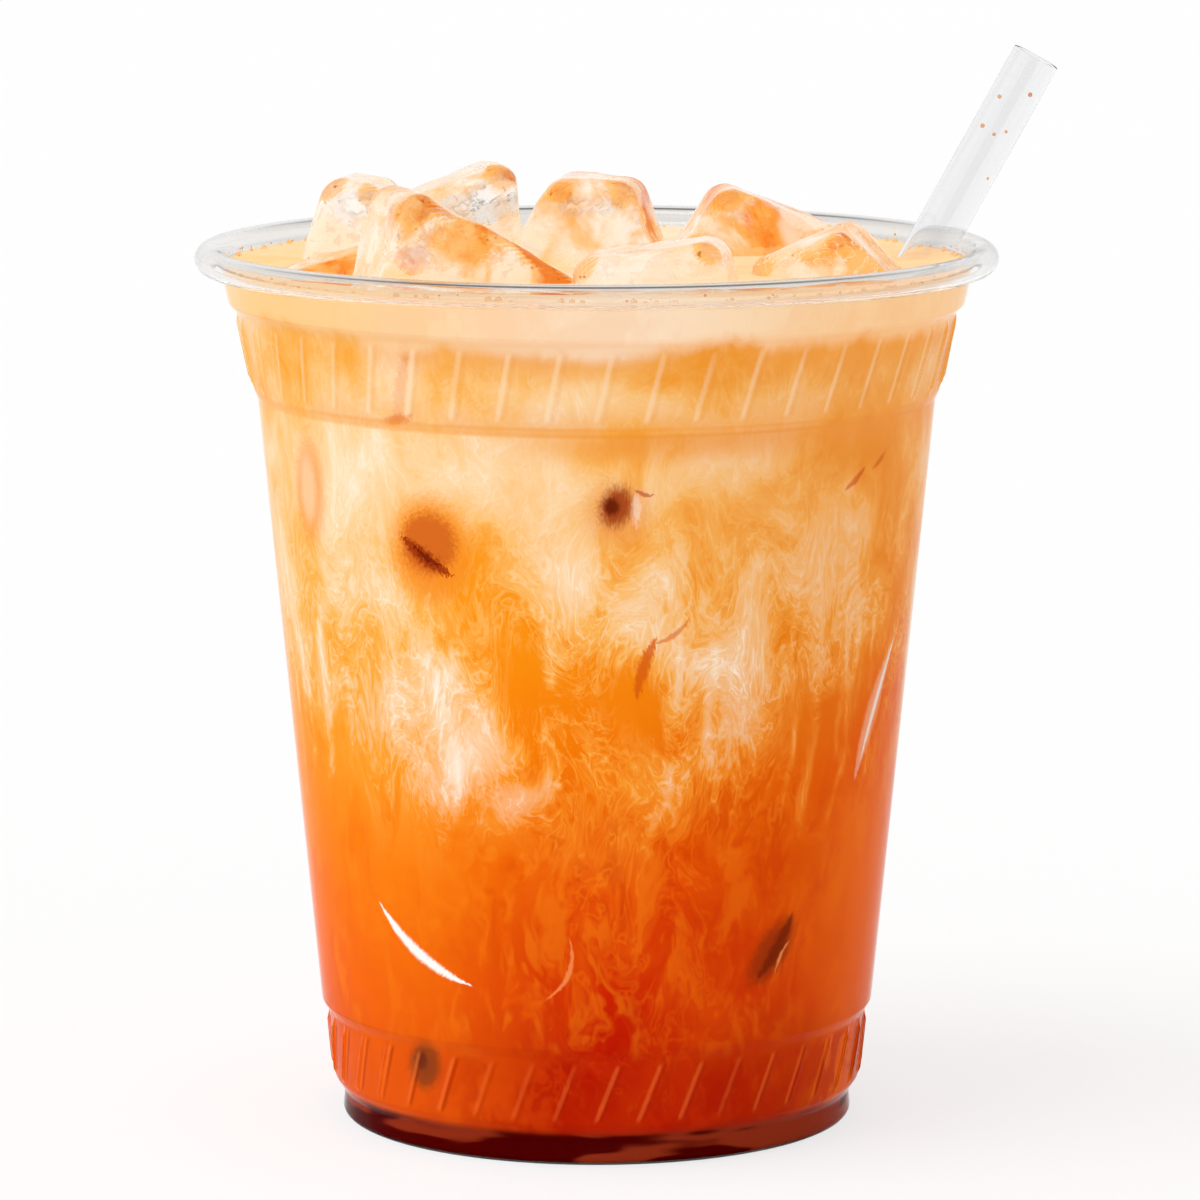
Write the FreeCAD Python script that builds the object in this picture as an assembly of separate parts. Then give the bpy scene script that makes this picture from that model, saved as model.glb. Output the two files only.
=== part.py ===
"""An iced milk tea in a clear thermoformed cup, with ice and a straw.

Millimetres, +Z up. The origin is on the surface the cup stands on, at the middle of its foot.
The near side is -Y, and the straw leans towards +X.
Each piece goes to parts/NODE.step: the cup, the tea, the milk over it, the straw and each ice cube.
"""

import FreeCAD
import Part

import math
import os

V = FreeCAD.Vector

# ---- cup: one sheet, thermoformed, with a rolled rim --------------------------------------------
RIM_DIAMETER = 98.2
CUP_HEIGHT = 108.2
FOOT_DIAMETER = 63.2
WALL = 0.5

CURL_RADIUS = 1.65  # outside of the rolled rim's section
CURL_TURN = 285.0  # degrees that the sheet is rolled through
LIP_TAPER = 13.0  # degrees off vertical, between the shoulder and the rim
LIP_DEPTH = 7.0  # from the rim's top down to the shoulder
SHOULDER_STEP = 1.0
SHOULDER_DEPTH = 1.0
UPPER_BAND_DEPTH = 9.5
UPPER_BAND_TAPER = 11.7  # degrees off vertical
UPPER_STEP = 0.55
UPPER_STEP_DEPTH = 1.2

FOOT_HEIGHT = 3.1
FOOT_WIDTH = 4.3  # of the ring that the cup stands on
BASE_RISE = 2.6  # of the panel inside that ring
BASE_SLOPE = 1.7  # sideways run of the step between the ring and the panel
WAIST = 0.3  # how far the groove above the foot is cut in
HEEL_STEP = 1.3  # how far the wall stands out over the groove
HEEL_DEPTH = 1.9
LOWER_BAND_DEPTH = 8.3
LOWER_BAND_TAPER = 4.8  # degrees off vertical
LOWER_STEP = 0.8
LOWER_STEP_DEPTH = 1.3

STEP_ROUND = 0.8  # bend radius of the sheet's outside at each step
FOOT_ROUND = 0.9
HEEL_ROUND = 1.6

# ---- grip ribs, pressed into the two bands ------------------------------------------------------
UPPER_RIBS = 45
LOWER_RIBS = 40
RIB_RADIUS = 0.38
RIB_PROUD = 0.33
RIB_INSET = 0.9  # from each end of its band
UPPER_RIB_LEAN = 13.0  # degrees, top towards +X on the near side
LOWER_RIB_LEAN = 21.0

# ---- drink --------------------------------------------------------------------------------------
FREE_DEPTH = 2.7  # from the rim's top down to the milk
MILK_DEPTH = 49.0  # mean, from its surface down to the tea
SWELL = 4.5  # half the height of the waves where milk and tea meet

# ---- straw --------------------------------------------------------------------------------------
STRAW_DIAMETER = 6.0
STRAW_WALL = 0.3
STRAW_LENGTH = 144.5
STRAW_AZIMUTH = 12.0  # degrees from +X towards +Y
STRAW_FOOT = 16.5  # from the cup's axis to its lower end, on the far side
STRAW_CLEARANCE = 0.1

# ---- ice ----------------------------------------------------------------------------------------
ICE_ROUND = 3.0
ICE_CLEARANCE = 0.3
ICE_SIDE_DRAFT = 1.0  # how far the near and far faces lean in over a cube's height
# name: length, width, height; how far the left and right faces lean in over that height; the
# middle's place across the mouth, as shares of its radius; the middle above the milk's surface; yaw
# and pitch in degrees
ICE = {
    "ice_near_left": ((29, 17, 20), (-5, 2), (-0.29, -0.44), -5.4, (20, 30)),
    "ice_far_left": ((17, 16, 19), (5, 5), (-0.65, 0.25), 0.3, (-12, 4)),
    "ice_low_left": ((20, 15, 13), (2, 1), (-0.65, -0.13), -4.2, (12, -14)),
    "ice_far_middle": ((21, 17, 20), (4, -4), (-0.455, 0.47), -2.9, (8, -22)),
    "ice_middle": ((31, 16, 20), (13, 8.5), (-0.055, 0.1), 0.6, (-8, 3)),
    "ice_near_middle": ((21, 15, 16), (1, 2), (0.17, -0.46), -3.4, (-8, -8)),
    "ice_far_right": ((24, 15, 19), (5, 2), (0.405, 0.36), -2.7, (6, 21)),
    "ice_near_right": ((20, 16, 15), (1, 6), (0.65, -0.2), -2.1, (-12, -24)),
}

# ---- worked out from the above ------------------------------------------------------------------
RIM_RADIUS = RIM_DIAMETER / 2
FOOT_RADIUS = FOOT_DIAMETER / 2
CURL_CENTRE = (RIM_RADIUS - CURL_RADIUS, CUP_HEIGHT - CURL_RADIUS)
FLOOR_HEIGHT = BASE_RISE + WALL
TIGHTEST_BEND = 0.2
DRINK_LEVEL = CUP_HEIGHT - FREE_DEPTH
STRAW_RADIUS = STRAW_DIAMETER / 2


def taper_run(depth, degrees):
    """Sideways run of a wall that leans by that many degrees over that depth."""
    return depth * math.tan(math.radians(degrees))


def sheet_corners():
    """Corners of the sheet's outside as (radius, height, bend radius), from the axis up to the curl."""
    lip = math.radians(LIP_TAPER)
    inner_curl = CURL_RADIUS - WALL
    top = (
        CURL_CENTRE[0] - inner_curl * math.cos(lip),
        CURL_CENTRE[1] + inner_curl * math.sin(lip),
    )
    shoulder_z = CUP_HEIGHT - LIP_DEPTH
    shoulder_r = top[0] - taper_run(top[1] - shoulder_z, LIP_TAPER)
    band_top = (shoulder_r - SHOULDER_STEP, shoulder_z - SHOULDER_DEPTH)
    band_low = (
        band_top[0] - taper_run(UPPER_BAND_DEPTH, UPPER_BAND_TAPER),
        band_top[1] - UPPER_BAND_DEPTH,
    )
    body_top = (band_low[0] - UPPER_STEP, band_low[1] - UPPER_STEP_DEPTH)

    waist_r = FOOT_RADIUS - WAIST
    heel = (waist_r + HEEL_STEP, FOOT_HEIGHT + HEEL_DEPTH)
    lower_top = (
        heel[0] + taper_run(LOWER_BAND_DEPTH, LOWER_BAND_TAPER),
        heel[1] + LOWER_BAND_DEPTH,
    )
    body_low = (lower_top[0] + LOWER_STEP, lower_top[1] + LOWER_STEP_DEPTH)
    ring_inner = FOOT_RADIUS - FOOT_WIDTH
    return [
        (0.0, BASE_RISE, 0.0),
        (ring_inner - BASE_SLOPE, BASE_RISE, FOOT_ROUND),
        (ring_inner, 0.0, FOOT_ROUND),
        (FOOT_RADIUS, 0.0, FOOT_ROUND),
        (waist_r, FOOT_HEIGHT, STEP_ROUND),
        (*heel, HEEL_ROUND),
        (*lower_top, STEP_ROUND),
        (*body_low, STEP_ROUND),
        (*body_top, STEP_ROUND),
        (*band_low, STEP_ROUND),
        (*band_top, STEP_ROUND),
        (shoulder_r, shoulder_z, STEP_ROUND),
        (*top, 0.0),
    ]


def turn_at(before, here, after):
    """Signed turn of a path at a corner, in radians: positive is to the left."""
    first = math.atan2(here[1] - before[1], here[0] - before[0])
    second = math.atan2(after[1] - here[1], after[0] - here[0])
    return (second - first + math.pi) % (2 * math.pi) - math.pi


def parallel_corners(corners, distance):
    """The corners moved to the left by a distance, their bends kept parallel to the first ones."""
    moved = []
    last = len(corners) - 1
    for i, (r, z, bend) in enumerate(corners):
        before = corners[max(i - 1, 0)]
        after = corners[min(i + 1, last)]
        if i in (0, last):
            along = math.atan2(after[1] - before[1], after[0] - before[0])
            moved.append(
                (r - distance * math.sin(along), z + distance * math.cos(along), 0.0)
            )
            continue
        turn = turn_at(before, corners[i], after)
        middle = math.atan2(z - before[1], r - before[0]) + turn / 2
        reach = distance / math.cos(turn / 2)
        moved.append(
            (
                r - reach * math.sin(middle),
                z + reach * math.cos(middle),
                max(bend - math.copysign(distance, turn), TIGHTEST_BEND),
            )
        )
    return moved


def rounded_edges(corners):
    """Lines joined by tangent arcs through the corners, in the XZ plane."""
    edges = []
    start = V(corners[0][0], 0, corners[0][1])
    for before, here, after in zip(corners, corners[1:], corners[2:]):
        turn = turn_at(before, here, after)
        trim = here[2] * math.tan(abs(turn) / 2)
        corner = V(here[0], 0, here[1])
        back = (V(before[0], 0, before[1]) - corner).normalize()
        on = (V(after[0], 0, after[1]) - corner).normalize()
        arc_start = corner + back * trim
        arc_end = corner + on * trim
        to_middle = (back + on).normalize()
        arc_middle = corner + to_middle * (here[2] / math.cos(turn / 2) - here[2])
        edges.append(Part.LineSegment(start, arc_start).toShape())
        edges.append(Part.Arc(arc_start, arc_middle, arc_end).toShape())
        start = arc_end
    edges.append(Part.LineSegment(start, V(corners[-1][0], 0, corners[-1][1])).toShape())
    return edges


def curl_point(radius, turned):
    """A point on the curl at a radius from its centre, after the sheet has turned by some degrees."""
    angle = math.radians(180 - LIP_TAPER - turned)
    return V(
        CURL_CENTRE[0] + radius * math.cos(angle),
        0,
        CURL_CENTRE[1] + radius * math.sin(angle),
    )


def revolve(edges):
    """The solid that a closed outline in the XZ plane sweeps about the Z axis."""
    face = Part.Face(Part.Wire(Part.__sortEdges__(edges)))
    return face.revolve(V(0, 0, 0), V(0, 0, 1), 360)


def line(start, end):
    return Part.LineSegment(start, end).toShape()


def cup_shell():
    outside = sheet_corners()
    inside = parallel_corners(outside, WALL)
    inside[0] = (0.0, FLOOR_HEIGHT, 0.0)
    edges = rounded_edges(outside) + rounded_edges(inside)
    for radius in (CURL_RADIUS - WALL, CURL_RADIUS):
        points = [curl_point(radius, share * CURL_TURN) for share in (0, 0.5, 1)]
        edges.append(Part.Arc(*points).toShape())
    edges.append(line(curl_point(CURL_RADIUS - WALL, CURL_TURN), curl_point(CURL_RADIUS, CURL_TURN)))
    edges.append(line(V(0, 0, BASE_RISE), V(0, 0, FLOOR_HEIGHT)))
    return revolve(edges)


def capsule(start, end, radius):
    """A rod with round ends between two points."""
    axis = end - start
    length = axis.Length
    outline = [
        Part.Arc(
            V(0, 0, -radius), V(radius * math.sqrt(0.5), 0, -radius * math.sqrt(0.5)), V(radius, 0, 0)
        ).toShape(),
        line(V(radius, 0, 0), V(radius, 0, length)),
        Part.Arc(
            V(radius, 0, length),
            V(radius * math.sqrt(0.5), 0, length + radius * math.sqrt(0.5)),
            V(0, 0, length + radius),
        ).toShape(),
        line(V(0, 0, length + radius), V(0, 0, -radius)),
    ]
    rod = revolve(outline)
    rod.Placement = FreeCAD.Placement(start, FreeCAD.Rotation(V(0, 0, 1), axis))
    return rod


def band_ribs(low, high, count, lean):
    """Leaning ribs evenly round the band between two corners of the sheet's outside."""
    depth = high[1] - low[1]
    inset = RIB_INSET / depth
    sunk = RIB_RADIUS - RIB_PROUD
    shift = taper_run(depth * (1 - 2 * inset), lean) / ((low[0] + high[0]) / 2)

    def place(share, azimuth):
        radius = low[0] + share * (high[0] - low[0]) - sunk
        return V(
            radius * math.cos(azimuth), radius * math.sin(azimuth), low[1] + share * depth
        )

    ribs = []
    for i in range(count):
        azimuth = 2 * math.pi * i / count
        ribs.append(
            capsule(place(inset, azimuth), place(1 - inset, azimuth + shift), RIB_RADIUS)
        )
    return ribs


def make_cup():
    corners = sheet_corners()
    heel, lower_top = corners[5], corners[6]
    band_low, band_top = corners[9], corners[10]
    ribs = band_ribs(heel, lower_top, LOWER_RIBS, LOWER_RIB_LEAN)
    ribs += band_ribs(band_low, band_top, UPPER_RIBS, UPPER_RIB_LEAN)
    return cup_shell().fuse(ribs)


def inside_of_cup(gap, top):
    """All the space in the cup up to a height, a gap clear of its sheet."""
    inside = parallel_corners(sheet_corners(), WALL + gap)
    inside[0] = (0.0, FLOOR_HEIGHT + gap, 0.0)
    end = V(inside[-1][0], 0, inside[-1][1])
    above = max(top, end.z) + CURL_RADIUS
    edges = rounded_edges(inside)
    edges.append(line(end, V(end.x, 0, above)))
    edges.append(line(V(end.x, 0, above), V(0, 0, above)))
    edges.append(line(V(0, 0, above), V(0, 0, FLOOR_HEIGHT + gap)))
    room = revolve(edges)
    slab = Part.makeCylinder(RIM_RADIUS, top, V(0, 0, 0))
    return room.common(slab)


def inner_radius(height):
    """Radius of the cup's inside at a height on its lip."""
    (low_r, low_z, _), (high_r, high_z, _) = parallel_corners(sheet_corners(), WALL)[-2:]
    return low_r + (high_r - low_r) * (height - low_z) / (high_z - low_z)


def straw_line():
    """Lower end and direction of the straw: it stands on the floor and leans on the rim."""
    reach = CURL_RADIUS + STRAW_RADIUS + STRAW_CLEARANCE
    tilt = math.radians(30)
    for _ in range(12):
        foot_z = FLOOR_HEIGHT + STRAW_CLEARANCE + STRAW_RADIUS * math.sin(tilt)
        across = CURL_CENTRE[0] + STRAW_FOOT
        up = CURL_CENTRE[1] - foot_z
        tilt = math.atan2(across, up) - math.asin(reach / math.hypot(across, up))
    azimuth = math.radians(STRAW_AZIMUTH)
    lean = V(math.cos(azimuth), math.sin(azimuth), 0)
    foot = lean * -STRAW_FOOT + V(0, 0, foot_z)
    return foot, lean * math.sin(tilt) + V(0, 0, math.cos(tilt))


def straw_rod(radius):
    """A rod of that radius along the whole straw."""
    return Part.makeCylinder(radius, STRAW_LENGTH, *straw_line())


def ice_block(size, drafts, turns, middle, grown=0.0):
    """A cube from a tapered mould, its edges melted round, grown outwards on every side."""
    x, y, z = (side / 2 + grown for side in size)
    left, right = drafts
    block = Part.makeWedge(
        -x, -z, -y, -y + ICE_SIDE_DRAFT, -x + left, x, z, y, y - ICE_SIDE_DRAFT, x - right
    )
    block.rotate(V(0, 0, 0), V(1, 0, 0), 90)
    block = block.makeFillet(ICE_ROUND + grown, block.Edges)
    turned = FreeCAD.Placement(middle, FreeCAD.Rotation(*turns, 0))
    block.Placement = turned.multiply(block.Placement)
    return block


def make_ice():
    """Every cube, kept clear of the cup, of the straw and of the cubes before it."""
    mouth_radius = inner_radius(DRINK_LEVEL)
    room = inside_of_cup(ICE_CLEARANCE, CUP_HEIGHT * 1.2)
    taken = [straw_rod(STRAW_RADIUS + ICE_CLEARANCE)]
    cubes = {}
    for name, (size, drafts, place, lift, turns) in ICE.items():
        middle = V(place[0] * mouth_radius, place[1] * mouth_radius, DRINK_LEVEL + lift)
        block = ice_block(size, drafts, turns, middle)
        cubes[name] = block.common(room).cut(taken)
        taken.append(ice_block(size, drafts, turns, middle, ICE_CLEARANCE))
    return cubes


def tea_mould():
    """Everything below the wavy surface where tea and milk meet."""
    steps = 8
    reach = RIM_RADIUS * 1.1
    mean = DRINK_LEVEL - MILK_DEPTH
    rows = []
    for i in range(steps + 1):
        x = reach * (2 * i / steps - 1)
        row = []
        for j in range(steps + 1):
            y = reach * (2 * j / steps - 1)
            wave = math.sin(4.2 * x / reach + 0.6) * math.cos(3.4 * y / reach - 0.9)
            row.append(V(x, y, mean - SWELL * wave))
        rows.append(row)
    surface = Part.BSplineSurface()
    surface.interpolate(rows)
    return surface.toShape().extrude(V(0, 0, -(mean + SWELL)))


def make_drink(straw, bore, cubes):
    """The tea, which also stands in the straw, and the milk over it."""
    drink = inside_of_cup(0.0, DRINK_LEVEL).cut([straw, *cubes])
    mould = tea_mould().fuse(bore)
    return drink.common(mould), drink.cut(mould)


def main():
    cubes = make_ice()
    bore = straw_rod(STRAW_RADIUS - STRAW_WALL)
    straw = straw_rod(STRAW_RADIUS).cut(bore)
    tea, milk = make_drink(straw, bore, cubes.values())
    parts = {"cup": make_cup(), "tea": tea, "milk": milk, "straw": straw, **cubes}
    os.makedirs("parts", exist_ok=True)
    for name, shape in parts.items():
        shape.exportStep(f"parts/{name}.step")
        print(name, len(shape.Solids), round(shape.Volume, 1), shape.isValid())


main()
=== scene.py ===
"""Looks for an iced milk tea in a clear thermoformed cup, with ice cubes and a straw.

Metres, +Z up. The cup stands on z = 0 with its axis at the origin; the near side is -Y, and an
azimuth is measured from the near side towards +X.
"""

import math

import bmesh
import bpy
import numpy as np
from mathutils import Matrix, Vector, noise


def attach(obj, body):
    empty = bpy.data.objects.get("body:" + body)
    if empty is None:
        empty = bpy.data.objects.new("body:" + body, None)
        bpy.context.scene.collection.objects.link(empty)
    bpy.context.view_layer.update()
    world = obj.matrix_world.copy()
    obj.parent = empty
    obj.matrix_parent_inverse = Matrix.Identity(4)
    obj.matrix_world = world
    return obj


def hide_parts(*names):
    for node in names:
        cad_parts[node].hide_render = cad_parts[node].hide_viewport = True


MM = 0.001

# ---- cup, in millimetres ------------------------------------------------------------------------
# the outside of the sheet from the middle of the base up to the rolled rim: radius, height, bend
SHEET = [
    (0.0, 2.6, 0.0),
    (25.6, 2.6, 0.9),
    (27.3, 0.0, 0.9),
    (31.6, 0.0, 0.9),
    (31.3, 3.1, 0.8),
    (32.6, 5.0, 1.6),
    (33.3, 13.3, 0.8),
    (34.1, 14.6, 0.8),
    (41.52, 89.5, 0.8),
    (42.07, 90.7, 0.8),
    (44.03, 100.2, 0.8),
    (45.03, 101.2, 0.8),
    (46.33, 106.81, 0.0),
]
WALL = 0.5
CURL_CENTRE = (47.45, 106.55)
CURL_RADIUS = 1.65
CURL_TURN = 285
LIP_TAPER = 13
# each grip band: ribs, lowest and highest point of a rib, lean of a rib in degrees, mean radius
LOWER_GRIP = (40, 5.9, 12.4, 21.0, 33.0)
UPPER_GRIP = (45, 91.6, 99.3, 13.0, 43.0)
GRIPS = (LOWER_GRIP, UPPER_GRIP)
RIB_PROUD = 0.33
RIB_HALF_WIDTH = 0.42

# ---- drink, in millimetres ----------------------------------------------------------------------
DRINK_LEVEL = 105.5
INTO_WALL = 0.2  # the drink reaches this far into the sheet, so that no gap shows
CREEP_UP, CREEP_IN = 0.35, 1.2  # how high the drink creeps up the wall, and how far in
COLUMNS = 370
MEAN_RADIUS = 39.0  # the wall unrolls at this radius
STIRRING = 0.16
# the wall over the lower grip: radius and height there, and how it widens upwards
WALL_FOOT = (33.3, 13.3)
WALL_TAPER = 0.108

# ---- straw, in millimetres ----------------------------------------------------------------------
STRAW_RADIUS = 3.0
STRAW_WALL = 0.3


# ---- making materials ---------------------------------------------------------------------------
def tone(red, green, blue):
    """A display colour, 0 to 255, as the linear colour that a socket takes."""

    def linear(level):
        level /= 255
        return level / 12.92 if level <= 0.04045 else ((level + 0.055) / 1.055) ** 2.4

    return linear(red), linear(green), linear(blue), 1.0


class Signal:
    """A node's output; arithmetic on it adds Math nodes to its finish."""

    def __init__(self, finish, socket):
        self.finish = finish
        self.socket = socket

    def math(self, operation, *terms):
        return self.finish.add(
            "ShaderNodeMath", {"operation": operation}, dict(enumerate(terms))
        )

    def __add__(self, other):
        return self.math("ADD", self, other)

    __radd__ = __add__

    def __sub__(self, other):
        return self.math("SUBTRACT", self, other)

    def __rsub__(self, other):
        return self.math("SUBTRACT", other, self)

    def __mul__(self, other):
        return self.math("MULTIPLY", self, other)

    __rmul__ = __mul__

    def __truediv__(self, other):
        return self.math("DIVIDE", self, other)

    def __rtruediv__(self, other):
        return self.math("DIVIDE", other, self)

    def __pow__(self, other):
        return self.math("POWER", self, other)

    def __abs__(self):
        return self.math("ABSOLUTE", self)

    def least(self, other):
        return self.math("MINIMUM", self, other)

    def most(self, other):
        return self.math("MAXIMUM", self, other)

    def rise(self, low, high):
        """0 below low, 1 above high, smooth between; the other way round if low is the higher."""
        return self.finish.add(
            "ShaderNodeMapRange",
            {"interpolation_type": "SMOOTHSTEP"},
            {"Value": self, "From Min": low, "From Max": high, "To Min": 0.0, "To Max": 1.0},
        )


class Finish:
    """A material, or the world, and the nodes in it."""

    def __init__(self, owner):
        owner.use_nodes = True
        self.owner = owner
        self.tree = owner.node_tree
        self.tree.nodes.clear()

    def add(self, kind, settings=None, inputs=None, output=0):
        """A node of that kind; its settings go in first, then values or links for its sockets."""
        node = self.tree.nodes.new(kind)
        for name, value in (settings or {}).items():
            if name == "stops":
                self.set_stops(node.color_ramp, value)
            else:
                setattr(node, name, value)
        for name, value in (inputs or {}).items():
            if isinstance(value, Signal):
                self.tree.links.new(value.socket, node.inputs[name])
            else:
                node.inputs[name].default_value = value
        return Signal(self, node.outputs[output]) if len(node.outputs) else node

    @staticmethod
    def set_stops(ramp, stops):
        while len(ramp.elements) < len(stops):
            ramp.elements.new(0.5)
        for element, (place, colour) in zip(ramp.elements, stops):
            element.position = place
            element.color = colour

    def blend(self, share, first, second):
        """The first colour where share is 0, the second where it is 1."""
        return self.add(
            "ShaderNodeMix",
            {"data_type": "RGBA", "clamp_factor": True},
            {0: share, 6: first, 7: second},
            output=2,
        )

    def object_place(self):
        return self.add("ShaderNodeTexCoord", output="Object")

    def attribute(self, name, output="Fac"):
        return self.add("ShaderNodeAttribute", {"attribute_name": name}, output=output)

    def parts(self, vector):
        """The three numbers of a vector."""
        x = self.add("ShaderNodeSeparateXYZ", None, {0: vector})
        outputs = x.socket.node.outputs
        return x, Signal(self, outputs[1]), Signal(self, outputs[2])

    def stretched(self, vector, scale):
        return self.add(
            "ShaderNodeVectorMath", {"operation": "MULTIPLY"}, {0: vector, 1: scale}
        )

    def grain(self, vector, scale, detail=3.0, roughness=0.5, distortion=0.0, output=0):
        """Noise from about 0.2 to 0.8, about 1 / scale across in the vector's unit."""
        return self.add(
            "ShaderNodeTexNoise",
            {"noise_dimensions": "3D"},
            {
                "Vector": vector,
                "Scale": scale,
                "Detail": detail,
                "Roughness": roughness,
                "Distortion": distortion,
            },
            output,
        )

    def bump(self, height, strength, distance):
        return self.add(
            "ShaderNodeBump",
            None,
            {"Height": height, "Strength": strength, "Distance": distance},
        )

    def shader(self, **sockets):
        names = {name.replace("_", " "): value for name, value in sockets.items()}
        return self.add("ShaderNodeBsdfPrincipled", None, names)

    def mix(self, share, first, second):
        return self.add("ShaderNodeMixShader", None, {0: share, 1: first, 2: second})

    def surface(self, shader):
        self.add("ShaderNodeOutputMaterial", None, {"Surface": shader})
        return self.owner

    def lets_light_by(self, glass):
        """Glass that light shines straight through, so that what it covers is lit evenly."""
        clear = self.add("ShaderNodeBsdfTransparent")
        for kind in ("Diffuse", "Shadow"):
            ray = self.add("ShaderNodeLightPath", output="Is %s Ray" % kind)
            glass = self.mix(ray, glass, clear)
        return glass


class Shaping(Finish):
    """A geometry tree with named inputs, made with the same node helpers."""

    def __init__(self, name, numbers, wholes=()):
        self.tree = bpy.data.node_groups.new(name, "GeometryNodeTree")
        kinds = [("Geometry", "Geometry")] + [(number, "Float") for number in numbers]
        kinds += [(whole, "Int") for whole in wholes] + [("Finish", "Material")]
        face = self.tree.interface
        for socket, kind in kinds:
            face.new_socket(socket, in_out="INPUT", socket_type="NodeSocket" + kind)
        face.new_socket("Geometry", in_out="OUTPUT", socket_type="NodeSocketGeometry")
        start = self.tree.nodes.new("NodeGroupInput")
        self.given = {s.name: Signal(self, s) for s in start.outputs if s.name}

    def result(self, geometry):
        """The tree, ending in that geometry, made real and given its finish."""
        real = self.add("GeometryNodeRealizeInstances", None, {0: geometry})
        painted = self.add(
            "GeometryNodeSetMaterial",
            None,
            {"Geometry": real, "Material": self.given["Finish"]},
        )
        end = self.tree.nodes.new("NodeGroupOutput")
        self.tree.links.new(painted.socket, end.inputs[0])
        return self.tree


def new_finish(name):
    return Finish(bpy.data.materials.new(name))


# ---- making meshes ------------------------------------------------------------------------------
def new_piece(name, points, faces, finish):
    """A smooth mesh object from points in millimetres."""
    mesh = bpy.data.meshes.new(name)
    mesh.from_pydata((np.asarray(points, float) * MM).tolist(), [], faces)
    mesh.validate()
    mesh.shade_smooth()
    mesh.materials.append(finish)
    piece = bpy.data.objects.new(name, mesh)
    bpy.context.scene.collection.objects.link(piece)
    return piece


def outward(piece):
    """Faces turned outwards, after doubles are merged."""
    shape = bmesh.new()
    shape.from_mesh(piece.data)
    bmesh.ops.remove_doubles(shape, verts=shape.verts, dist=1e-7)
    bmesh.ops.recalc_face_normals(shape, faces=shape.faces)
    shape.to_mesh(piece.data)
    shape.free()
    return piece


def store(piece, name, values):
    """Numbers or vectors for each vertex, for a finish to read."""
    values = np.asarray(values, np.float32)
    kind, field = ("FLOAT", "value") if values.ndim == 1 else ("FLOAT_VECTOR", "vector")
    attribute = piece.data.attributes.new(name, kind, "POINT")
    attribute.data.foreach_set(field, values.ravel())


def vertex_places(piece):
    """Vertex places in millimetres."""
    places = np.zeros(len(piece.data.vertices) * 3, np.float32)
    piece.data.vertices.foreach_get("co", places)
    return places.reshape(-1, 3).astype(float) / MM


def turn_at(before, here, after):
    first = math.atan2(here[1] - before[1], here[0] - before[0])
    second = math.atan2(after[1] - here[1], after[0] - here[0])
    return (second - first + math.pi) % (2 * math.pi) - math.pi


def parallel(corners, distance):
    """The corners moved inwards by a distance, with their bends."""
    moved = []
    for i, (r, z, bend) in enumerate(corners):
        before = corners[max(i - 1, 0)]
        after = corners[min(i + 1, len(corners) - 1)]
        if i == 0:
            moved.append((0.0, z + distance, 0.0))
        elif after == corners[i]:
            along = math.atan2(z - before[1], r - before[0])
            moved.append(
                (r - distance * math.sin(along), z + distance * math.cos(along), 0.0)
            )
        else:
            turn = turn_at(before, corners[i], after)
            middle = math.atan2(z - before[1], r - before[0]) + turn / 2
            reach = distance / math.cos(turn / 2)
            bend = max(bend - math.copysign(distance, turn), 0.2)
            moved.append((r - reach * math.sin(middle), z + reach * math.cos(middle), bend))
    return moved


def rounded(corners, pieces=5):
    """Points along the corners' outline, with its bends."""
    line = [np.array(corners[0][:2])]
    for before, here, after in zip(corners, corners[1:], corners[2:]):
        turn = turn_at(before, here, after)
        corner = np.array(here[:2])
        back = np.array(before[:2]) - corner
        on = np.array(after[:2]) - corner
        back /= np.linalg.norm(back)
        on /= np.linalg.norm(on)
        trim = here[2] * math.tan(abs(turn) / 2)
        to_middle = (back + on) / np.linalg.norm(back + on)
        centre = corner + to_middle * here[2] / math.cos(turn / 2)
        start = corner + back * trim - centre
        for step in range(pieces + 1):
            angle = turn * step / pieces
            cos, sin = math.cos(angle), math.sin(angle)
            line.append(centre + np.array([[cos, -sin], [sin, cos]]) @ start)
    line.append(np.array(corners[-1][:2]))
    return np.array(line)


def divided(line, spacing):
    """The line with points added so that none are further apart than spacing(radius, height)."""
    points = [line[0]]
    for start, end in zip(line, line[1:]):
        gap = np.linalg.norm(end - start)
        middle = (start + end) / 2
        parts = max(1, math.ceil(gap / spacing(*middle)))
        points += [start + (end - start) * step / parts for step in range(1, parts + 1)]
    return np.array(points)


def revolved(name, line, azimuths, finish):
    """A closed skin about the Z axis from a line that starts and ends on the axis."""
    rows = line[1:-1]
    count = azimuths.shape[1]
    x = rows[:, :1] * np.sin(azimuths)
    y = -rows[:, :1] * np.cos(azimuths)
    z = np.repeat(rows[:, 1:], count, axis=1)
    points = np.stack([x, y, z], -1).reshape(-1, 3)
    points = np.vstack([points, [0, 0, line[0][1]], [0, 0, line[-1][1]]])
    first, last = len(points) - 2, len(points) - 1
    faces = []
    for row in range(len(rows) - 1):
        for column in range(count):
            beside = (column + 1) % count
            low, high = row * count, (row + 1) * count
            faces.append((low + column, low + beside, high + beside, high + column))
    end = (len(rows) - 1) * count
    for column in range(count):
        beside = (column + 1) % count
        faces.append((first, beside, column))
        faces.append((last, end + column, end + beside))
    return outward(new_piece(name, points, faces, finish))


# ---- the cup ------------------------------------------------------------------------------------
def rib_columns(ribs, offsets, radius):
    """Azimuths of the mesh's columns, close together on each rib."""
    pitch = 2 * math.pi / ribs
    centres = np.arange(ribs)[:, None] * pitch
    return (centres + np.array(offsets)[None, :] / radius).ravel()


def rib_lean(grip):
    """How far round a rib leans from its lower to its upper end, in radians."""
    _, low, high, lean, radius = grip
    return (high - low) * math.tan(math.radians(lean)) / radius


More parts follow.
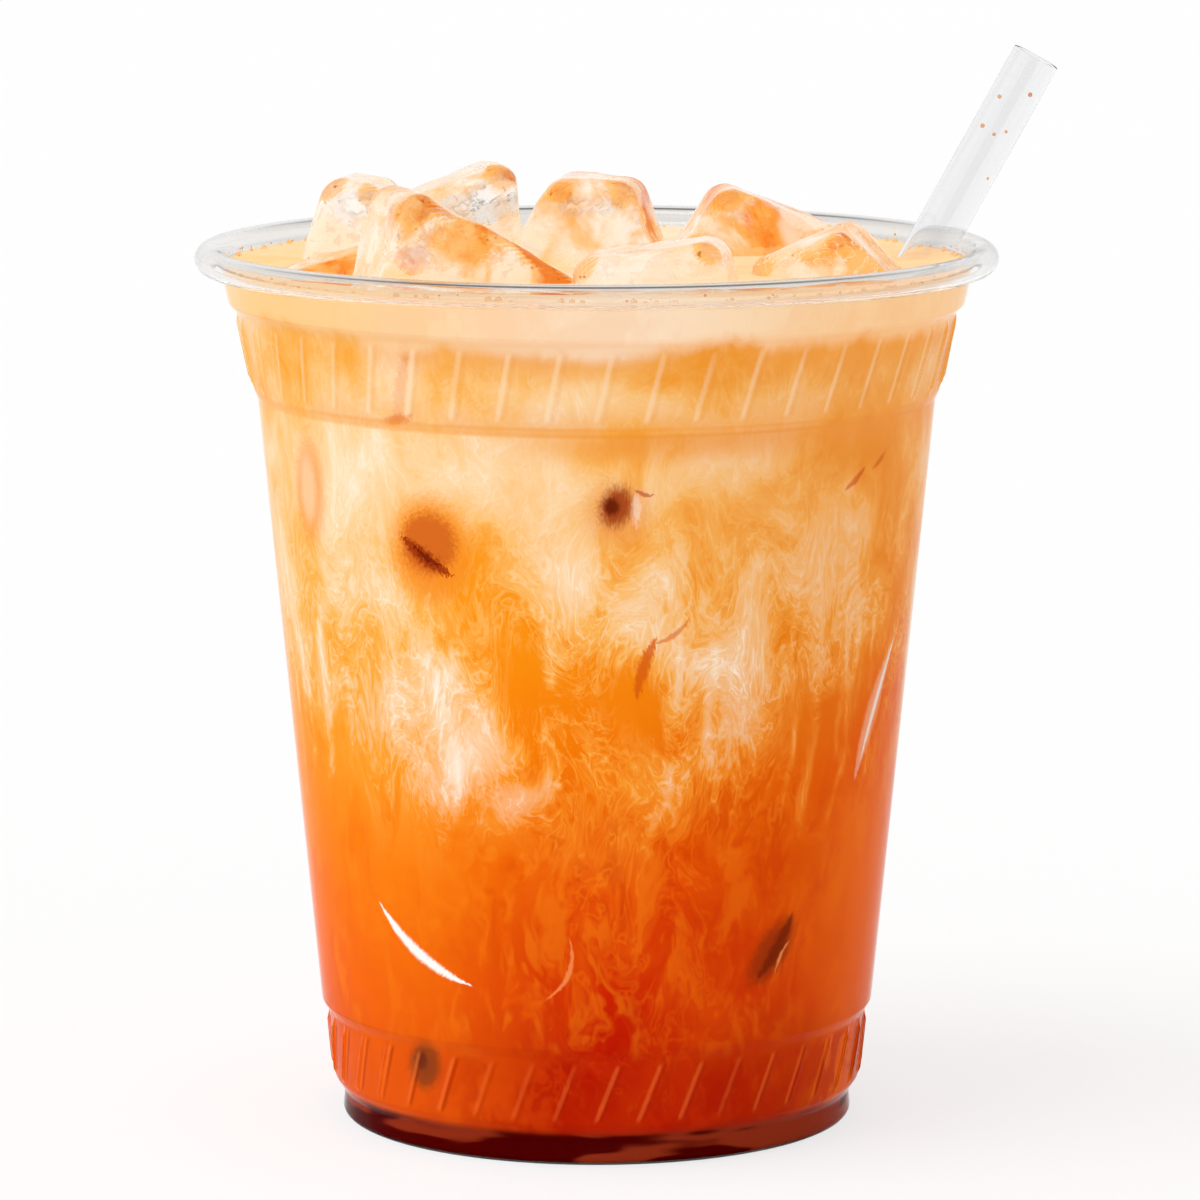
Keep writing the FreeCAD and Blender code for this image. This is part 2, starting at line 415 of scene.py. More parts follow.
def rib_twist(height, grip):
    """How far round a rib has leaned at a height."""
    _, low, high, _, _ = grip
    return np.clip((height - low) / (high - low), 0, 1) * rib_lean(grip)


def cup_line():
    """The whole section of the sheet, from the axis under the base to the axis on the floor."""
    outside = rounded(SHEET)
    inside = rounded(parallel(SHEET, WALL))
    curl = []
    for radius, turns in (
        (CURL_RADIUS - WALL, np.linspace(0, CURL_TURN, 22)[1:]),
        (CURL_RADIUS, np.linspace(CURL_TURN, 0, 26)[:-1]),
    ):
        for turned in turns:
            angle = math.radians(180 - LIP_TAPER - turned)
            curl.append(
                (
                    CURL_CENTRE[0] + radius * math.cos(angle),
                    CURL_CENTRE[1] + radius * math.sin(angle),
                )
            )

    def spacing(radius, height):
        pressed = any(low - 1 < height < high + 1 for _, low, high, _, _ in GRIPS)
        return 0.7 if pressed else 6.0

    return np.vstack(
        [divided(outside, spacing), np.array(curl), divided(inside, lambda r, z: 4.0)[::-1]]
    )


def press_ribs_tree():
    """Geometry nodes that press one band of leaning ribs into the outside of the sheet."""
    nodes = Shaping(
        "press ribs", ("Ribs", "Low", "High", "Turn", "Radius", "Proud", "Half Width")
    )
    given = nodes.given
    place = nodes.add("GeometryNodeInputPosition")
    x, y, z = nodes.parts(place)
    azimuth = x.math("ARCTAN2", x, 0.0 - y)
    share = (z - given["Low"]) / (given["High"] - given["Low"])
    share = share.most(0.0).least(1.0)
    phase = (azimuth - share * given["Turn"]) * given["Ribs"] / (2 * math.pi)
    from_rib = abs(phase.math("FRACT", phase + 100.5) - 0.5)
    distance = from_rib * (2 * math.pi) * given["Radius"] / given["Ribs"]
    profile = (distance / given["Half Width"]).rise(1.0, 0.0)
    ends = (z - given["Low"]).rise(-0.4 * MM, 0.3 * MM) * (z - given["High"]).rise(
        0.4 * MM, -0.3 * MM
    )
    outside = nodes.add(
        "GeometryNodeInputNamedAttribute", {"data_type": "FLOAT"}, {"Name": "outside"}
    )
    lift = profile * ends * outside * given["Proud"]
    away = nodes.add("ShaderNodeCombineXYZ", None, {0: x, 1: y, 2: 0.0})
    away = nodes.add("ShaderNodeVectorMath", {"operation": "NORMALIZE"}, {0: away})
    shift = nodes.add("ShaderNodeVectorMath", {"operation": "SCALE"}, {0: away, 3: lift})
    moved = nodes.add(
        "GeometryNodeSetPosition", None, {"Geometry": given["Geometry"], "Offset": shift}
    )
    return nodes.result(moved)


def worked_in(piece):
    """The piece's mesh with its modifiers worked in, as a plain mesh."""
    bpy.context.view_layer.update()
    final = piece.evaluated_get(bpy.context.evaluated_depsgraph_get())
    return bpy.data.meshes.new_from_object(final)


def apply_tree(piece, tree, values):
    """Runs the piece's mesh through a geometry tree with those named inputs."""
    modifier = piece.modifiers.new(tree.name, "NODES")
    modifier.node_group = tree
    for item in tree.interface.items_tree:
        if item.in_out == "INPUT" and item.name in values:
            modifier[item.identifier] = values[item.name]
    finished = worked_in(piece)
    piece.modifiers.remove(modifier)
    piece.data = finished


def make_cup(finish):
    line = cup_line()
    heights = line[1:-1, 1]
    lower = rib_columns(
        LOWER_GRIP[0], (-1.9, -1.0, -0.42, -0.21, 0, 0.21, 0.42, 1.0, 1.9), LOWER_GRIP[4]
    )
    upper = rib_columns(
        UPPER_GRIP[0], (-1.5, -0.42, -0.21, 0, 0.21, 0.42, 1.5, 3.0), UPPER_GRIP[4]
    )
    share = np.clip((heights - 17) / 70, 0, 1)[:, None]
    azimuths = lower * (1 - share) + upper * share
    azimuths = azimuths + sum(rib_twist(heights, grip) for grip in GRIPS)[:, None]
    # the lower lean is taken back over the body, so that the upper ribs start on their columns
    azimuths = azimuths - (rib_twist(99, LOWER_GRIP) * share[:, 0])[:, None]
    cup = revolved("clear_cup", line, azimuths, finish)
    places = vertex_places(cup)
    across = np.hypot(places[:, 0], places[:, 1])
    outline = rounded(SHEET)
    rising = outline[12:]  # past the ring foot, where the height only grows
    at_outside = np.interp(places[:, 2], rising[:, 1], rising[:, 0])
    store(cup, "outside", (across > at_outside - WALL * 0.5).astype(float))
    tree = press_ribs_tree()
    for grip in GRIPS:
        ribs, low, high, _, radius = grip
        apply_tree(
            cup,
            tree,
            {
                "Ribs": float(ribs),
                "Low": low * MM,
                "High": high * MM,
                "Turn": rib_lean(grip),
                "Radius": radius * MM,
                "Proud": RIB_PROUD * MM,
                "Half Width": RIB_HALF_WIDTH * MM,
                "Finish": finish,
            },
        )
    cup.data.shade_smooth()
    return cup


def cup_finish():
    """Clear PET, faintly wavy from its moulding; it mirrors less where the drink wets it."""
    finish = new_finish("clear PET")
    place = finish.object_place()
    _, _, z = finish.parts(place)
    waves = finish.grain(finish.stretched(place, (1, 1, 0.4)), 90.0, 2.0)

    def glass(bend, clear, **more):
        return finish.shader(
            Base_Color=(clear, clear * 0.985, clear * 0.965, 1.0),
            Roughness=0.02,
            IOR=bend,
            Transmission_Weight=1.0,
            **more,
        )

    dry = (z / MM).rise(DRINK_LEVEL - 0.6, DRINK_LEVEL + 0.6)
    wet = glass(1.07, 1.0, Normal=finish.bump(waves, 0.12, 0.0006))
    return finish.surface(finish.lets_light_by(finish.mix(dry, wet, glass(1.5, 0.93))))


# ---- the drink ----------------------------------------------------------------------------------
def currents(turn, height, seed=11, count=44):
    """A gentle stirring on the unrolled wall: sideways and upward speed, in mm a step."""
    chance = np.random.default_rng(seed)
    sideways = np.zeros_like(turn)
    upward = np.zeros_like(turn)
    for _ in range(count):
        waves = int(chance.integers(3, 26))
        across = waves / MEAN_RADIUS
        along = 2 * math.pi / chance.uniform(16, 70) * chance.choice([-1, 1])
        size = 0.9 / math.hypot(across, along) ** 1.15
        phase = chance.uniform(0, 2 * math.pi)
        slope = size * np.cos(waves * turn + along * height + phase)
        sideways += slope * along
        upward -= slope * across * 1.5
    return sideways * STIRRING, upward * STIRRING


def stirred(turn, height, steps=2):
    """Where the drink at each place came from, before it was stirred."""
    turn = turn.copy()
    height = height.copy()
    for _ in range(steps):
        sideways, upward = currents(turn, height)
        calm = np.clip((height - 4) / 14, 0.15, 1) * np.clip((112 - height) / 34, 0.25, 1)
        turn -= sideways * calm / MEAN_RADIUS
        height -= upward * calm
    return turn, height


def patch(turn, height, middle, half, lean=0.0, edge=1.0):
    """A soft oval on the wall: 1 in its middle, 0 outside; middle is (degrees, mm)."""
    beside = (turn - math.radians(middle[0]) + math.pi) % (2 * math.pi) - math.pi
    across = beside * MEAN_RADIUS
    along = height - middle[1]
    slant = math.radians(lean)
    u = (across * math.cos(slant) - along * math.sin(slant)) / half[0]
    v = (across * math.sin(slant) + along * math.cos(slant)) / half[1]
    return np.exp(-((u * u + v * v) ** edge))


# milk and tea on the wall: middle (degrees, mm), half size in mm, lean in degrees, strength
MILK_CLOUDS = [
    ((-23, 50.5), (8.5, 4.2), -28, 0.9),
    ((-14.5, 46), (4.5, 2.6), -35, 1.1),
    ((-28, 59), (7, 5), 35, 0.35),
    ((-50, 69), (6, 6), 0, 0.25),
    ((-40, 55), (6, 4), 0, 0.3),
    ((20, 63), (7, 6), 10, 0.35),
    ((25, 79), (8, 9), 0, 0.3),
    ((45, 74), (7, 8), 0, 0.2),
    ((26, 53), (4.5, 8), 10, 0.3),
    ((-5, 72), (4, 4), 0, 0.3),
    ((9, 83), (7, 5), 0, 0.2),
    ((-1, 53), (1.6, 6), -10, 0.3),
    ((-20, 84), (5, 8), 0, 0.25),
    ((-46, 88), (6, 7), 0, 0.25),
    ((-62, 84), (5, 10), 0, 0.15),
    ((-33, 98), (4, 4), 0, 0.2),
    ((17, 103), (8, 2), 0, 0.2),
]
TEA_POOLS = [
    ((-10, 59), (6.5, 6), 0, 0.45),
    ((9, 57.5), (4.5, 4.5), 0, 0.4),
    ((-29, 76), (7.5, 7.5), 0, 0.5),
    ((-27, 65), (4, 6), 10, 0.25),
    ((-62, 74), (5, 4), 0, 0.3),
    ((-68, 50), (7, 12), 0, 0.2),
    ((46, 51), (9, 8), 0, 0.35),
    ((4, 80), (4, 6), 0, 0.25),
    ((1, 88), (11, 3.0), 0, 0.4),
    ((12, 97), (20, 3.5), 0, 0.3),
    ((-17, 99), (3, 3), 0, 0.2),
    ((60, 66), (6, 12), 0, 0.2),
    ((30, 40), (14, 6), 0, 0.1),
]


def milk_share(turn, height, from_turn, from_height):
    """How milky the drink is against the wall, 0 to 1."""
    level = [0, 14, 28, 36, 44, 52, 60, 68, 84, 96, 104, 106]
    share = [0.0, 0.02, 0.03, 0.05, 0.11, 0.2, 0.3, 0.4, 0.5, 0.42, 0.8, 0.85]
    milk = np.interp(from_height, level, share)
    for waves, start, reach in ((7, 0.4, 46), (9, 2.2, 43), (12, 4.0, 50), (16, 1.1, 47)):
        sway = 0.16 * np.sin(from_height / 7 + waves) + 0.1 * np.sin(from_height / 3.1 + start)
        thin = np.exp(-((np.sin(waves * turn / 2 + start + sway) / 0.075) ** 2))
        hanging = np.clip((from_height - reach + 9) / 9, 0, 1) * np.clip(
            (76 - from_height) / 14, 0, 1
        )
        milk += 0.26 * thin * hanging
    drawn_turn = turn + (from_turn - turn) * 0.4
    drawn_height = height + (from_height - height) * 0.4
    for middle, half, lean, strength in MILK_CLOUDS:
        milk += strength * patch(drawn_turn, drawn_height, middle, half, lean)
    for middle, half, lean, strength in TEA_POOLS:
        milk -= strength * patch(drawn_turn, drawn_height, middle, half, lean)
    return milk


def make_drink(finish):
    line = rounded(parallel(SHEET, WALL - INTO_WALL))
    line = divided(line, lambda r, z: 0.65 if r > 28 else 3.0)
    line = line[line[:, 1] <= DRINK_LEVEL + 0.3]
    rim = line[-1][0]
    top = [
        (rim * share, DRINK_LEVEL + CREEP_UP * math.exp((share - 1) * rim / CREEP_IN))
        for share in np.linspace(0.99, 0.02, 34)
    ]
    line = np.vstack([line, top, [(0.0, DRINK_LEVEL)]])
    azimuths = np.tile(
        np.arange(COLUMNS)[None, :] * 2 * math.pi / COLUMNS, (len(line) - 2, 1)
    )
    drink = revolved("marbled_drink", line, azimuths, finish)
    places = vertex_places(drink)
    turn = np.arctan2(places[:, 0], -places[:, 1])
    height = places[:, 2]
    from_turn, from_height = stirred(turn, height)
    across = np.hypot(places[:, 0], places[:, 1])
    store(drink, "milk", milk_share(turn, height, from_turn, from_height))
    store(
        drink,
        "drift",
        np.stack(
            [across * np.sin(from_turn), -across * np.cos(from_turn), from_height], -1
        ),
    )
    return drink


def wall_place(degrees, height):
    """A place on the wall, in mm round from the near side and mm up."""
    radius = WALL_FOOT[0] + (height - WALL_FOOT[1]) * WALL_TAPER
    return math.radians(degrees) * radius, height


class Wall:
    """Paints marks on the drink where it meets the wall; u runs round it and v up, in mm."""

    def __init__(self, finish, colour, azimuth, across, height, waver):
        self.finish = finish
        self.colour = colour
        self.place = finish.add(
            "ShaderNodeCombineXYZ", None, {0: azimuth * across, 1: height, 2: 1.0}
        )
        self.waver = waver

    def along(self, middle, angle, half):
        """How far a place lies from the middle in a direction, as a share of half a size."""
        cos, sin = math.cos(angle) / half, math.sin(angle) / half
        line = (cos, sin, -middle[0] * cos - middle[1] * sin)
        return self.finish.add(
            "ShaderNodeVectorMath", {"operation": "DOT_PRODUCT"}, {0: self.place, 1: line}, "Value"
        )

    def uneven(self, reach, ragged):
        return self.waver.math("MULTIPLY_ADD", self.waver, ragged, reach) if ragged else reach

    def paint(self, mask, rgb, strength):
        self.colour = self.finish.blend(mask * strength, self.colour, tone(*rgb))

    def spot(self, place, half, rgb, strength, lean=0.0, ragged=0.0, soft=0.5):
        """An oval; soft is the share of its size over which it fades."""
        middle, lean = wall_place(*place), math.radians(lean)
        across = self.along(middle, lean, half[0])
        up = self.along(middle, lean + math.pi / 2, half[1])
        reach = up.math("SQRT", up.math("MULTIPLY_ADD", up, up, across * across))
        self.paint(self.uneven(reach, ragged).rise(1.0 + soft, 1.0 - soft), rgb, strength)

    def streak(self, start, end, rgb, strength, width, bow=0.0, ragged=0.0):
        """A stroke from one place to another, thinning to its ends; bow is its sag in mm."""
        (u0, v0), (u1, v1) = wall_place(*start), wall_place(*end)
        middle, angle = ((u0 + u1) / 2, (v0 + v1) / 2), math.atan2(v1 - v0, u1 - u0)
        along = self.along(middle, angle, math.hypot(u1 - u0, v1 - v0) / 2)
        across = self.along(middle, angle + math.pi / 2, 1.0)
        inside = (1.0 - along * along).most(0.0)
        if bow:
            across = inside.math("MULTIPLY_ADD", inside, bow, across)
        breadth = inside.math("MULTIPLY_ADD", inside, width, 0.001)
        mask = (abs(self.uneven(across, ragged)) / breadth).rise(1.0, 0.35)
        self.paint(mask, rgb, strength)


# colours of the drink from its top down to the foot, with the depth that each belongs to; the left
# sets are lighter as painted light and the right sets darker as painted shade
DEPTHS = (0.0, 0.32, 0.57, 0.74, 0.9, 0.98)
LAYERS = {
    "tea": (
        (246, 156, 38), (248, 142, 14), (245, 118, 5),
        (225, 66, 2), (200, 30, 2), (180, 18, 2),
    ),
    "tea_lit_left": (
        (250, 166, 50), (251, 156, 16), (251, 142, 8),
        (250, 128, 8), (242, 104, 8), (226, 88, 10),
    ),
    "tea_shaded_right": (
        (236, 150, 62), (234, 130, 24), (224, 88, 2),
        (217, 82, 3), (206, 66, 4), (172, 42, 3),
    ),
    "cream": (
        (253, 222, 178), (253, 222, 186), (251, 206, 164),
        (244, 146, 52), (236, 106, 14), (224, 80, 10),
    ),
    "cream_shaded_right": (
        (246, 208, 162), (242, 200, 156), (236, 172, 118),
        (230, 128, 40), (220, 94, 14), (206, 72, 10),
    ),
    "amber": (
        (251, 190, 108), (251, 184, 92), (250, 160, 50),
        (242, 120, 18), (230, 92, 8), (212, 68, 5),
    ),
}


def drink_finish():
    """Tea and milk half mixed: cream above, orange in the middle, red tea below."""
    finish = new_finish("milk tea")
    drift = finish.attribute("drift", "Vector")
    milk = finish.attribute("milk")
    place = finish.object_place()
    x, y, z = finish.parts(place)
    height = z / MM
    across = (x * x + y * y) ** 0.5 / MM
    azimuth = x.math("ARCTAN2", x, 0.0 - y)
    side = x / MM / across.most(1.0)

    def swirl(vector, across, up, detail, roughness=0.6, output=0):
        """Noise with so many features in a millimetre, across and up."""
        vector = finish.stretched(vector, (across, across, up))
        return finish.grain(vector, 1.0, detail, roughness, output=output)

    cloud = swirl(drift, 0.06, 0.045, 3.0)
    warp = swirl(drift, 0.2, 0.12, 2.0, output="Color")
    bent = finish.add("ShaderNodeVectorMath", {"operation": "SCALE"}, {0: warp, 3: 9.0})
    bent = finish.add("ShaderNodeVectorMath", {"operation": "ADD"}, {0: drift, 1: bent})
    wisp = swirl(bent, 0.22, 0.13, 4.0, 0.65)
    fluff = swirl(bent, 0.42, 0.2, 2.0, 0.55)
    fibre = swirl(bent, 1.0, 0.5, 2.0)
    grit = finish.grain(drift, 2.6, 2.0, 0.6)
    strands = abs(fluff * 2 - 1).rise(0.12, 0.0) * 0.26 + abs(fibre * 2 - 1).rise(0.14, 0.0) * 0.18
    envelope = milk.rise(-0.05, 0.3) * milk.rise(1.3, 0.6)
    smooth = height.rise(62.0, 84.0) * 0.6
    local = milk + (cloud - 0.5) * (2.1 + smooth) * (milk.rise(-0.1, 0.4) * 0.8 + 0.2)
    # more milk on the left and less on the right in the upper half: painted light on the left,
    # painted shade on the right
    local = local - side * 0.2 * height.rise(50.0, 80.0)
    calm = height.rise(28.0, 52.0) * 0.8 + 0.2
    stir = (wisp - 0.5) * 1.2 + (strands - 0.08 + (fibre - 0.5) * 0.4) * calm
    local = local + stir * (envelope * 0.75 + 0.25) * (1.0 - smooth)
    hang = swirl(bent, 0.4, 0.09, 2.0)
    veins = abs(hang * 2 - 1).rise(0.06, 0.0) * height.rise(56.0, 44.0) * height.rise(4.0, 9.0)
    local = local + veins * 0.2

    depth = (height + (cloud - 0.5) * 16).rise(106.0, 0.0)

    def layers(name):
        stops = [(at, tone(*rgb)) for at, rgb in zip(DEPTHS, LAYERS[name])]
        return finish.add("ShaderNodeValToRGB", {"stops": stops}, {0: depth})

    # left and right pick lit and shaded copies of the colours: painted light on the left, painted
    # shade on the right
    left = side.rise(0.1, -0.85)
    right = side.rise(0.0, 0.8)
    tea_shaded_right = layers("tea_shaded_right")
    tea = finish.blend(right, finish.blend(left, layers("tea"), layers("tea_lit_left")), tea_shaded_right)
    cream = finish.blend(right, layers("cream"), layers("cream_shaded_right"))
    dusk = wisp.rise(0.5, 0.36) * height.rise(56.0, 34.0) * 0.45
    flames = wisp.rise(0.47, 0.53) * height.rise(13.6, 12.4) * side.rise(-0.75, -0.1) * 0.55
    # the dark patches are lighter orange on the left, as painted light
    tea = finish.blend(dusk, tea, finish.blend(left, tone(200, 44, 2), tone(234, 98, 4)))
    glow = (wisp * 0.5 + hang * 0.5).rise(0.5, 0.6) * height.rise(62.0, 48.0)
    glow = glow * height.rise(10.0, 18.0) * 0.3
    # the lighter patches are darker orange on the right, as painted shade
    tea = finish.blend(glow, tea, finish.blend(right, tone(252, 146, 26), tone(236, 108, 16)))
    # painted glow: lighter orange along the right edge of the drink, lower down
    right_edge_glow = side.rise(0.7, 0.93) * height.rise(56.0, 34.0) * 0.65
    tea = finish.blend(right_edge_glow, tea, tone(240, 108, 14))
    tea = finish.blend(flames, tea, tone(172, 14, 0))
    colour = finish.blend(local * 2.2, tea, finish.blend(right * 0.5, layers("amber"), tea_shaded_right))
    colour = finish.blend((local - 0.4) * 1.45, colour, cream)
    colour = finish.blend(local.rise(0.9, 1.55), colour, tone(254, 242, 228))
    froth = height.rise(104.9, 105.4) * across.rise(45.2, 43.5) * wisp.rise(0.36, 0.56)
    top = height.rise(105.2, 105.45) * 0.6
    colour = finish.blend(top, colour, tone(254, 228, 190))
    colour = finish.blend(froth * 0.7, colour, tone(255, 242, 222))

    wall = Wall(finish, colour, azimuth, across, height, (grit - 0.5) * 2)
    # sunk ice pressed against the wall
    wall.spot((-58, 80.6), (3.2, 6.0), (244, 144, 60), 0.6, 0, 0.3, 0.4)
    wall.spot((-58.5, 80.6), (1.7, 4.0), (250, 206, 160), 0.7, 0, 0.4, 0.4)
    wall.spot((-29.3, 75.2), (5.2, 6.0), (243, 138, 34), 0.8, 10, 0.3, 0.35)
    wall.spot((-29.8, 76.0), (3.7, 3.7), (206, 96, 30), 0.85, 0, 0.35, 0.25)
    wall.streak((-35.2, 76.8), (-25.0, 72.3), (158, 52, 12), 0.95, 1.3, 0.3, 1.0)
    wall.streak((-33.0, 76.0), (-27.0, 73.4), (104, 26, 6), 0.85, 0.5, 0.4, 0.8)
    wall.spot((3.4, 80.4), (3.6, 3.8), (238, 150, 74), 0.6, 0, 0.3, 0.5)
    wall.spot((3.3, 81.2), (1.9, 2.4), (158, 50, 8), 0.9, -20, 0.35, 0.45)
    wall.spot((2.5, 81.3), (0.9, 1.0), (92, 18, 2), 0.85, 0, 0.4)
    wall.spot((6.6, 80.9), (0.5, 1.8), (252, 216, 190), 0.7, 0, 1.2)
    wall.streak((6.2, 83.4), (9.6, 82.6), (186, 60, 40), 0.7, 0.35, 0.3, 0.3)
    wall.spot((37.4, 25.6), (2.2, 4.6), (146, 48, 10), 0.85, -40, 0.5, 0.35)
    wall.streak((33.6, 22.2), (42.0, 30.2), (112, 30, 6), 0.85, 1.2, 0.5, 0.9)
    wall.streak((38.4, 22.6), (41.8, 26.8), (236, 150, 84), 0.7, 0.3, -0.3, 0.3)
    wall.spot((-38.8, 11.2), (2.3, 2.9), (118, 58, 26), 0.8, -10, 0.4, 0.4)
    wall.spot((-39.6, 11.6), (0.9, 1.1), (84, 44, 26), 0.7, 0, 0.5)
    # a drip and seams in the milk
    wall.streak((-31.5, 99.6), (-34.7, 89.6), (244, 178, 132), 0.6, 1.3, 0.0, 0.8)
    wall.spot((-31.6, 99.3), (0.8, 1.3), (224, 108, 50), 0.7, 10, 0.8)
    wall.spot((-34.2, 90.8), (1.8, 0.6), (226, 100, 40), 0.7, 10, 0.8)
    wall.streak((10.6, 65.6), (7.2, 57.6), (216, 92, 14), 0.85, 1.0, 0.5, 0.7)
    wall.streak((16.4, 67.7), (9.6, 64.6), (226, 112, 36), 0.7, 0.45, -0.6, 0.3)
    wall.streak((46.5, 81.5), (51.5, 84.0), (206, 82, 30), 0.7, 0.6, 0.2, 0.4)
    wall.streak((53.5, 83.5), (57.5, 85.6), (206, 82, 30), 0.6, 0.5, 0.2, 0.4)
    # edges of ice that catch the light
    wall.streak((-48.0, 31.0), (-25.5, 22.0), (255, 250, 244), 1.0, 0.95, 1.3, 0.35)
    wall.streak((-5.4, 29.0), (-10.6, 20.8), (246, 150, 84), 0.7, 0.4, -1.6, 0.3)
    wall.streak((68.0, 61.0), (57.5, 45.0), (242, 190, 150), 0.5, 1.9, 0.6, 0.6)
    wall.streak((69.5, 62.0), (59.0, 47.0), (236, 226, 220), 0.8, 0.6, 0.5, 0.2)
    colour = wall.colour

    def ribs(grip, share):
        """Lines along the pressed ribs, painted as highlights on each rib and as shade beside it,
        stronger on the left; share is how far round from each rib.
        """
        count, low, high, _, _ = grip
        risen = (height - low) / (high - low)
        phase = (azimuth - risen * rib_lean(grip)) * (count / (2 * math.pi)) + share
        off = abs(phase.math("FRACT", phase + 100.5) - 0.5)
        ends = height.rise(low - 0.6, low + 0.2) * height.rise(high + 0.6, high - 0.2)
        return off.rise(0.08, 0.02) * ends * (cloud.rise(0.4, 0.56) * 0.5 + 0.4 + left * 0.4)

    soft = (cloud * 0.6 + wisp * 0.4).rise(0.4, 0.56)
    waver = (wisp - 0.5) * 3.0 + (cloud - 0.5) * 8.0
    # painted shade: orange under the shoulder ledge, where the ledge shades the drink below it
    shade_under_lip = height.rise(95.0, 99.6) * (soft * 0.5 + 0.35) * side.rise(-0.95, -0.3)
    colour = finish.blend(shade_under_lip, colour, tone(244, 158, 64))
    lip = (height + waver).rise(98.4, 101.2) * height.rise(97.4, 99.4)
    # the foam is whiter on the left, as painted light
    foam = finish.blend(left, tone(255, 232, 204), tone(254, 206, 142))
    foam = finish.blend(right, foam, tone(255, 213, 162))
    colour = finish.blend(lip * (0.94 - soft * 0.2), colour, foam)
    over_step = height.rise(94.5, 90.4) * height.rise(90.1, 90.5) * soft * 0.45
    colour = finish.blend(over_step, colour, tone(244, 158, 66))
    under_step = height.rise(85.0, 89.0) * height.rise(90.0, 89.6)
    colour = finish.blend(under_step * side.rise(-0.5, 0.2) * 0.6, colour, tone(240, 150, 66))
    # painted highlights on the ribs, with painted shade just beside each rib
    colour = finish.blend(ribs(UPPER_GRIP, 0.0) * 0.34, colour, tone(254, 232, 200))
    colour = finish.blend(ribs(UPPER_GRIP, -0.13) * 0.14, colour, tone(226, 140, 70))
    colour = finish.blend(ribs(LOWER_GRIP, 0.0) * 0.3, colour, tone(246, 128, 60))
    colour = finish.blend(ribs(LOWER_GRIP, -0.12) * 0.35, colour, tone(140, 16, 2))

    # dark lines at the cup's bends: painted shade where the bent sheet turns light away
    def ring(level, spread, uneven):
        reach = (height - level) / spread
        patchy = (cloud + fibre * 0.5).rise(0.75 - uneven, 0.75 + uneven)
        return (reach * reach).rise(1.0, 0.0) * (patchy * 0.6 + 0.4)

    # painted shade along the bends at the step, the shoulder and the lower step
    for level, spread, strength in ((90.0, 0.8, 0.6), (100.6, 0.5, 0.16), (13.9, 0.7, 0.3)):
        colour = finish.blend(ring(level, spread, 0.2) * strength, colour, tea)

    # the foot ring: the dark red of clear tea, darkened further as painted shade, with patches of
    # painted reflection
    foot = height.rise(4.6, 3.4)
    patchy = finish.grain(finish.stretched(place, (55, 55, 300)), 1.0, 2.0, 0.5).rise(0.5, 0.57)
    bead = finish.blend(patchy * 0.6, tone(74, 0, 0), tone(170, 60, 30))
    colour = finish.blend(foot, colour, bead)
    body = finish.shader(
        Base_Color=colour,
        Roughness=0.35,
        Specular_IOR_Level=0.0,
    )
    return finish.surface(body)


# ---- the ice ------------------------------------------------------------------------------------
# the film of tea on each cube: how much everywhere, and how much more towards its +X side
FILM = {
    "ice_far_left": (-0.05, 0.1),
    "ice_near_left": (0.1, 0.75),
    "ice_low_left": (0.6, 0.2),
    "ice_far_middle": (0.1, 0.3),
    "ice_middle": (-0.1, 0.95),
    "ice_near_middle": (0.05, 0.05),
    "ice_far_right": (0.65, -0.1),
    "ice_near_right": (0.4, 0.05),
}


def edge_share(piece, places, normals):
    """1 on the sharpest outer edges, 0 on flats and hollows."""
    count = len(places)
    pairs = np.zeros(len(piece.data.edges) * 2, np.int32)
    piece.data.edges.foreach_get("vertices", pairs)
    pairs = pairs.reshape(-1, 2)
    both = np.vstack([pairs, pairs[:, ::-1]])
    near = np.maximum(np.bincount(both[:, 0], minlength=count), 1)

    def around(values):
        return np.bincount(both[:, 0], weights=values[both[:, 1]], minlength=count) / near

    mean = np.stack([around(places[:, axis]) for axis in range(3)], -1)
    bend = ((places - mean) * normals).sum(1)
    for _ in range(6):
        bend = around(bend)
    return np.clip(bend / np.percentile(bend, 97), 0, 1)


def make_ice(name, finish, seed):
    """A melting cube: the plain block, softened, hollowed a little and rippled."""
    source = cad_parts[name]
    piece = bpy.data.objects.new("melting_" + name, source.data.copy())
    bpy.context.scene.collection.objects.link(piece)
    outward(piece)
    modifier = piece.modifiers.new("even mesh", "REMESH")
    modifier.mode = "VOXEL"
    modifier.voxel_size = 0.5 * MM
    modifier.use_smooth_shade = True
    piece.data = worked_in(piece)
    piece.modifiers.clear()
    places = vertex_places(piece)
    normals = np.zeros(len(places) * 3, np.float32)
    piece.data.vertices.foreach_get("normal", normals)
    normals = normals.reshape(-1, 3)
    shift = Vector((seed * 31.7, seed * 17.3, seed * 5.1))
    lift = np.zeros(len(places))
    for i, place in enumerate(places):
        here = Vector(place) + shift
        hollow = min(0.0, noise.noise(here / 7.0) * 0.7 - 0.1)
        lift[i] = hollow + noise.noise(here / 2.6) * 0.05
    places = places + normals * lift[:, None]
    base, more = FILM[name]
    along = (places[:, 0] - places[:, 0].min()) / np.ptp(places[:, 0])
    store(piece, "film", base + more * along)
    store(piece, "edge", edge_share(piece, places, normals))
    store(piece, "cracked", np.full(len(places), 1.0 if name == "ice_near_right" else 0.15))
    piece.data.vertices.foreach_set("co", (places * MM).astype(np.float32).ravel())
    piece.data.materials.clear()
    piece.data.materials.append(finish)
    piece.data.update()
    piece.data.shade_smooth()
    return piece


